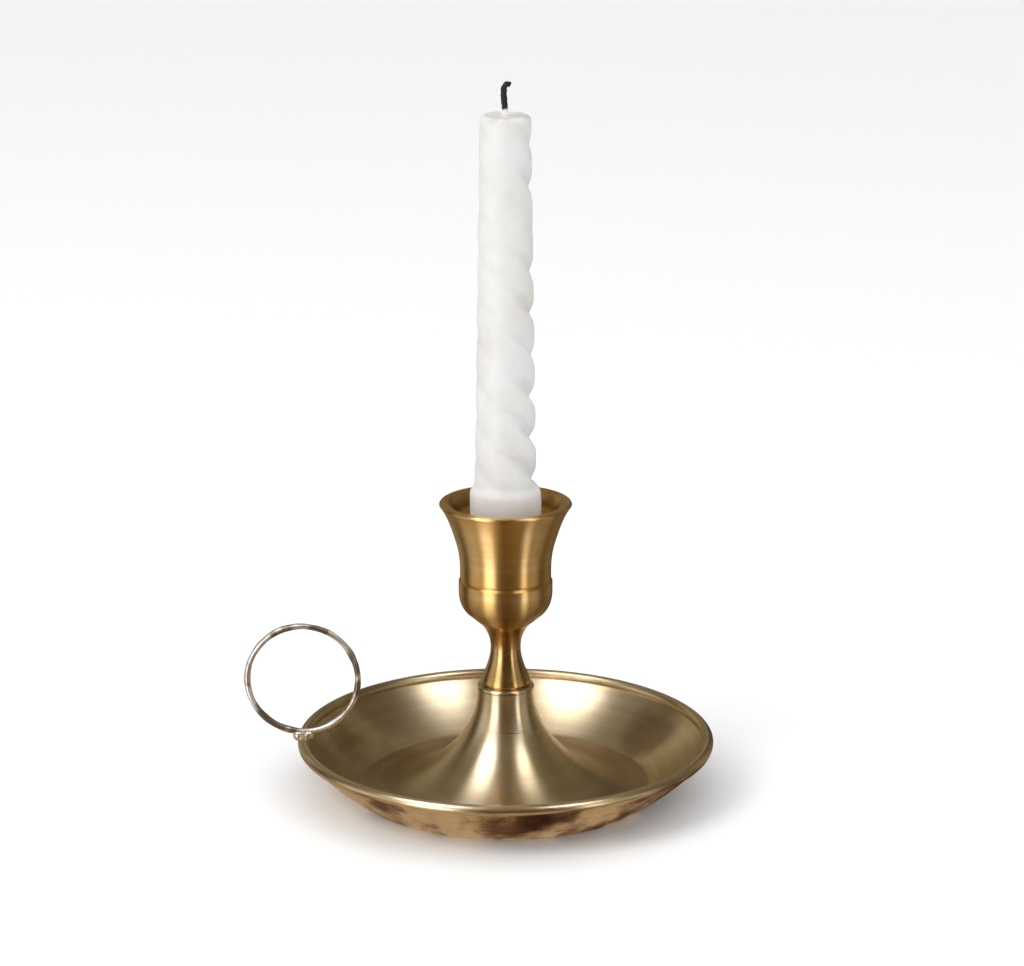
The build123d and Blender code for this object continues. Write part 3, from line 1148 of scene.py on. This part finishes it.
class CHAMBERSTICK_OT_wick(bpy.types.Operator):
    """Models the braided wick with its waxed foot and hooked, charred tip"""

    bl_idname = "chamberstick.wick"
    bl_label = "Wick"

    def execute(self, context):
        sizes = context.scene.chamberstick_wick
        foot = candle_high.z - 1.6 * MM
        tip = wick_high.z
        bend = (-sizes.lean, tip - 3.4 * MM)
        hook_end = (sizes.hook, tip - 1.25 * MM)
        route = [(0.0, foot)]
        route += bow_curve(
            route[0],
            (0.1 * MM, foot + 3.0 * MM),
            (bend[0], bend[1] - 2.5 * MM),
            bend,
            10,
        )
        route += bow_curve(
            bend,
            (bend[0], tip - 1.4 * MM),
            (hook_end[0] - 1.4 * MM, tip - 0.4 * MM),
            hook_end,
            9,
        )
        nothing_selected()
        bpy.ops.mesh.primitive_circle_add(
            vertices=12,
            radius=sizes.radius * 1.25,
            location=(0.0, 0.0, foot),
            fill_type="NGON",
        )
        wick = name_new("wick_braided")
        bpy.ops.object.transform_apply(location=True, rotation=True, scale=True)
        bpy.ops.object.mode_set(mode="EDIT")
        bpy.ops.mesh.select_all(action="SELECT")
        heading = math.pi / 2
        for index, ((x0, z0), (x1, z1)) in enumerate(zip(route, route[1:])):
            scale = WICK_TAPER.get(index, 1.0)
            grow_ring((x0, 0, z0), (x1, 0, z1), 0.0, scale)
            new_heading = math.atan2(z1 - z0, x1 - x0)
            bend_by = new_heading - heading
            bpy.ops.transform.rotate(value=bend_by, orient_axis="Y", center_override=(x1, 0, z1))
            heading = new_heading
        close_shell()
        self.press_braid(wick, sizes)
        apply_modifier(wick, "SUBSURF", levels=2, render_levels=2)
        ripple(wick, 0.8 * MM, 0.26 * MM)
        put_in_frame(wick, charred_cotton(sizes), "candle", "wick_cotton", "wick", angle=60.0)
        return {"FINISHED"}

    def press_braid(self, wick, sizes):
        """Presses the crossings of the braid into the sides of the wick."""
        bpy.ops.object.mode_set(mode="EDIT")
        pitch = 2.0 * MM
        middle = -sizes.lean / 2
        for side in (-1, 1):

            def in_crossing(co):
                at_crossing = (co.z / pitch + side * 0.25) % 1.0 < 0.4
                return at_crossing and (co.x - middle) * side > 0.3 * MM

            select_points(wick, in_crossing)
            bpy.ops.transform.translate(value=(-side * 0.16 * MM, 0.0, 0.0))
        bpy.ops.object.mode_set(mode="OBJECT")


class CHAMBERSTICK_OT_fastening(bpy.types.Operator):
    """Gives the rod, washer and nut under the dish their plated finish"""

    bl_idname = "chamberstick.fastening"
    bl_label = "Rod, washer and nut"

    def execute(self, context):
        material = plated_steel()
        for name in ("tie_rod", "washer", "nut"):
            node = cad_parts[name]
            if not node.material_slots:
                node.data.materials.append(material)
            for slot in node.material_slots:
                slot.material = material
        return {"FINISHED"}


# ---------------------------------------------------------------- stage

FLOOR_RADIUS = 12.0
ROOM_RADIUS = 11.0
TABLE_RADIUS = 0.11

# Tones all round the room, from behind through the left, the front and the right to behind again.
ROOM_STOPS = (
    (0.00, (0.32, 0.28, 0.20)),
    (0.045, (0.12, 0.10, 0.06)),
    (0.10, (0.46, 0.42, 0.32)),
    (0.17, (0.06, 0.05, 0.04)),
    (0.25, (0.20, 0.19, 0.16)),
    (0.33, (0.42, 0.38, 0.27)),
    (0.40, (0.28, 0.24, 0.17)),
    (0.46, (0.065, 0.045, 0.025)),
    (0.53, (0.10, 0.06, 0.025)),
    (0.60, (0.05, 0.035, 0.02)),
    (0.68, (0.30, 0.28, 0.21)),
    (0.75, (0.05, 0.04, 0.03)),
    (0.88, (0.28, 0.24, 0.17)),
    (0.955, (0.03, 0.03, 0.03)),
    (1.00, (0.32, 0.28, 0.20)),
)
OVERHEAD_TONE = (0.20, 0.18, 0.14, 1.0)

# Red, green and blue share of the lit strips and cards, a little cool.
CARD_TINT = (0.93, 0.97, 1.12)

# Lit strips: bearing and half width in degrees, edge softness, lowest and highest share of the
# room's height, power. Bearing 0 is the front and 90 the right.
STRIPS = (
    (-41.0, 9.0, 8.0, -0.90, 0.26, 3.0),
    (-42.0, 12.0, 12.0, 0.26, 0.95, 0.60),
    (48.0, 3.0, 6.0, -0.90, 0.26, 2.4),
    (48.0, 4.0, 8.0, 0.26, 0.90, 0.30),
    (-84.0, 10.0, 14.0, -0.80, 0.40, 0.55),
    (78.0, 8.0, 10.0, -0.80, 0.30, 0.35),
)

# Lit cards overhead: lean to the right and to the back, in degrees, inner and outer angle, power.
OVERHEAD_CARDS = (
    (29.0, -18.0, 5.0, 13.0, 7.0),
    (-34.0, -18.0, 7.0, 17.0, 8.0),
)


def floor_paint(shade):
    """A matt studio surface with a very faint mottle."""
    paint = Paint("floor_paint")
    mottle = paint.noise(paint.place, 3.0, 3.0)
    base = paint.mix(mottle * 0.06, rgba(shade), rgba([c * 0.94 for c in shade]))
    return paint.finish(Base_Color=base, Roughness=0.8)


def glow(paint, tone, strength):
    """A black surface that only gives off this colour."""
    return paint.finish(
        Base_Color=(0.0, 0.0, 0.0, 1.0),
        Roughness=1.0,
        Specular_IOR_Level=0.0,
        Emission_Color=tone,
        Emission_Strength=strength,
    )


def table_tone(sizes):
    """The warm, grained table top that shows in the underside of the dish."""
    paint = Paint("table_tone")
    along = paint.vector(paint.x * 0.55, paint.y, 0.0)
    grain = paint.noise(along, 34.0, 4.0, 0.6).step(0.46, 0.58)
    fleck = paint.noise(paint.place, 95.0, 3.0, 0.6).step(0.50, 0.66)
    tone = paint.mix(grain, rgba(sizes.table_colour), rgba(sizes.grain_colour))
    tone = paint.mix(fleck * 0.6, tone, rgba(sizes.grain_colour))
    return glow(paint, tone, 1.0)


def room_tone(strength):
    """The room round the object: tones by direction, lit strips and two lit cards overhead."""
    paint = Paint("room_tone")
    height = paint.z / ROOM_RADIUS
    bearing = paint.math("ARCTAN2", paint.x, 0.0 - paint.y) * (180.0 / math.pi)
    turn_share = bearing / 360.0 + 0.5
    tone = paint.node("ShaderNodeValToRGB", {"stops": ROOM_STOPS}, {"Fac": turn_share})
    above = paint.mix(height.step(0.35, 0.80), tone, OVERHEAD_TONE)
    light = 0.0
    for card_bearing, half_width, softness, low, high, power in STRIPS:
        away = paint.math("ABSOLUTE", bearing - card_bearing)
        across = 1.0 - away.step(half_width, half_width + softness)
        up = height.step(low - 0.1, low + 0.1) * (1.0 - height.step(high - 0.12, high + 0.12))
        light = across * up * power + light
    for lean_x, lean_y, inner, outer, power in OVERHEAD_CARDS:
        lean = (math.sin(math.radians(lean_x)), math.sin(math.radians(lean_y)), 1.0)
        place = Vector(lean).normalized()
        facing = (paint.x * place.x + paint.y * place.y + paint.z * place.z) / ROOM_RADIUS
        card = facing.step(math.cos(math.radians(outer)), math.cos(math.radians(inner)))
        light = card * power + light
    tinted = {channel: light * share for channel, share in enumerate(CARD_TINT)}
    cards = paint.node("ShaderNodeCombineColor", {}, tinted)
    lit = paint.mix(1.0, above, cards, "ADD")
    return glow(paint, lit, strength)


def seen_in_metal_only(item):
    """Keeps a card out of the camera's view and out of the light, so that only polished metal shows it."""
    item.visible_camera = False
    item.visible_diffuse = False
    item.visible_shadow = False
    item.visible_transmission = False


# The point on the axis that both lamps face.
LAMP_AIM = Vector((0.0, 0.0, 0.06))


def lamp(name, place, size, power, tint):
    """A rectangular soft lamp that faces the object."""
    data = bpy.data.lights.new(name, "AREA")
    data.shape = "RECTANGLE"
    data.size, data.size_y = size
    data.energy = power
    data.color = tint
    item = bpy.data.objects.new(name, data)
    item.location = place
    item.rotation_euler = (LAMP_AIM - Vector(place)).to_track_quat("-Z", "Y").to_euler()
    item.visible_camera = False
    item.visible_glossy = False
    bpy.context.scene.collection.objects.link(item)


class CHAMBERSTICK_OT_stage(bpy.types.Operator):
    """Sets up the floor, the soft studio light and the camera"""

    bl_idname = "chamberstick.stage"
    bl_label = "Stage"

    def execute(self, context):
        sizes = context.scene.chamberstick_stage
        self.add_floor(sizes)
        self.add_room(sizes)
        self.add_cards(sizes)
        self.add_lamps(sizes.brightness)
        self.add_camera(sizes)
        return {"FINISHED"}

    def add_disc(self, name, radius, height):
        """A flat disc round the axis."""
        nothing_selected()
        bpy.ops.mesh.primitive_circle_add(
            vertices=96,
            radius=radius,
            fill_type="NGON",
            location=(0.0, 0.0, height),
        )
        return name_new(name)

    def add_floor(self, sizes):
        """The pale floor, and the warm table top that only the metal shows."""
        floor = self.add_disc("floor", FLOOR_RADIUS, cad_low.z)
        floor.data.materials.append(floor_paint(sizes.floor_colour))
        floor.visible_glossy = False
        table = self.add_disc("reflected_table", TABLE_RADIUS, cad_low.z - 0.2 * MM)
        table.data.materials.append(table_tone(sizes))
        seen_in_metal_only(table)

    def add_room(self, sizes):
        """Even, soft light from all round."""
        world = bpy.data.worlds.new("room")
        world.use_nodes = True
        bpy.context.scene.world = world
        background = world.node_tree.nodes["Background"]
        background.inputs["Color"].default_value = rgba(sizes.sky_colour)
        background.inputs["Strength"].default_value = sizes.sky_strength

    def add_cards(self, sizes):
        """The room that only the metal shows."""
        nothing_selected()
        bpy.ops.mesh.primitive_uv_sphere_add(segments=64, ring_count=32, radius=ROOM_RADIUS)
        room = name_new("reflected_room")
        room.data.materials.append(room_tone(sizes.card_strength))
        seen_in_metal_only(room)

    def add_lamps(self, brightness):
        """A soft lamp at the front left and a weaker one at the front right."""
        soft = (1.0, 0.98, 0.95)
        lamp("lamp_key", (-0.95, -0.75, 1.05), (0.7, 0.7), 9.0 * brightness, soft)
        lamp("lamp_fill", (0.9, -0.6, 0.9), (0.9, 0.9), 2.0 * brightness, soft)

    def add_camera(self, sizes):
        """The camera in front, looking a little down."""
        data = bpy.data.cameras.new("camera")
        data.lens = sizes.lens
        data.sensor_width = 36.0
        camera = bpy.data.objects.new("camera", data)
        camera.location = sizes.camera_place
        camera.rotation_euler = (math.radians(90.0 - sizes.camera_pitch), 0.0, 0.0)
        bpy.context.scene.collection.objects.link(camera)
        bpy.context.scene.camera = camera
        bpy.context.scene.view_settings.view_transform = "Standard"


# ---------------------------------------------------------------- add-on

OPERATORS = (
    CHAMBERSTICK_OT_dish,
    CHAMBERSTICK_OT_pillar,
    CHAMBERSTICK_OT_stem,
    CHAMBERSTICK_OT_cup,
    CHAMBERSTICK_OT_ring,
    CHAMBERSTICK_OT_braze,
    CHAMBERSTICK_OT_candle,
    CHAMBERSTICK_OT_wick,
    CHAMBERSTICK_OT_fastening,
    CHAMBERSTICK_OT_stage,
)

SETTINGS = {
    "chamberstick_dish": DishSettings,
    "chamberstick_cup": CupSettings,
    "chamberstick_ring": RingSettings,
    "chamberstick_candle": CandleSettings,
    "chamberstick_wick": WickSettings,
    "chamberstick_stage": StageSettings,
}


class CHAMBERSTICK_PT_panel(bpy.types.Panel):
    """Lists the pieces and their sizes"""

    bl_idname = "CHAMBERSTICK_PT_panel"
    bl_label = "Chamberstick"
    bl_space_type = "VIEW_3D"
    bl_region_type = "UI"
    bl_category = "Chamberstick"

    def draw(self, context):
        for operator in OPERATORS:
            self.layout.operator(operator.bl_idname)
        for name, settings in SETTINGS.items():
            box = self.layout.box()
            box.label(text=settings.__doc__)
            for prop in settings.__annotations__:
                box.prop(getattr(context.scene, name), prop)


def register():
    """Adds the settings, the operators and the panel to Blender."""
    for item in (*SETTINGS.values(), *OPERATORS, CHAMBERSTICK_PT_panel):
        bpy.utils.register_class(item)
    for name, settings in SETTINGS.items():
        setattr(bpy.types.Scene, name, bpy.props.PointerProperty(type=settings))


def unregister():
    """Takes out all that register adds."""
    for name in SETTINGS:
        delattr(bpy.types.Scene, name)
    for item in (CHAMBERSTICK_PT_panel, *reversed(OPERATORS), *reversed(SETTINGS.values())):
        bpy.utils.unregister_class(item)


def main():
    """Registers the add-on, models every piece and sets up the stage."""
    register()
    for operator in OPERATORS:
        getattr(bpy.ops.chamberstick, operator.bl_idname.split(".")[1])()


if __name__ == "__main__":
    main()
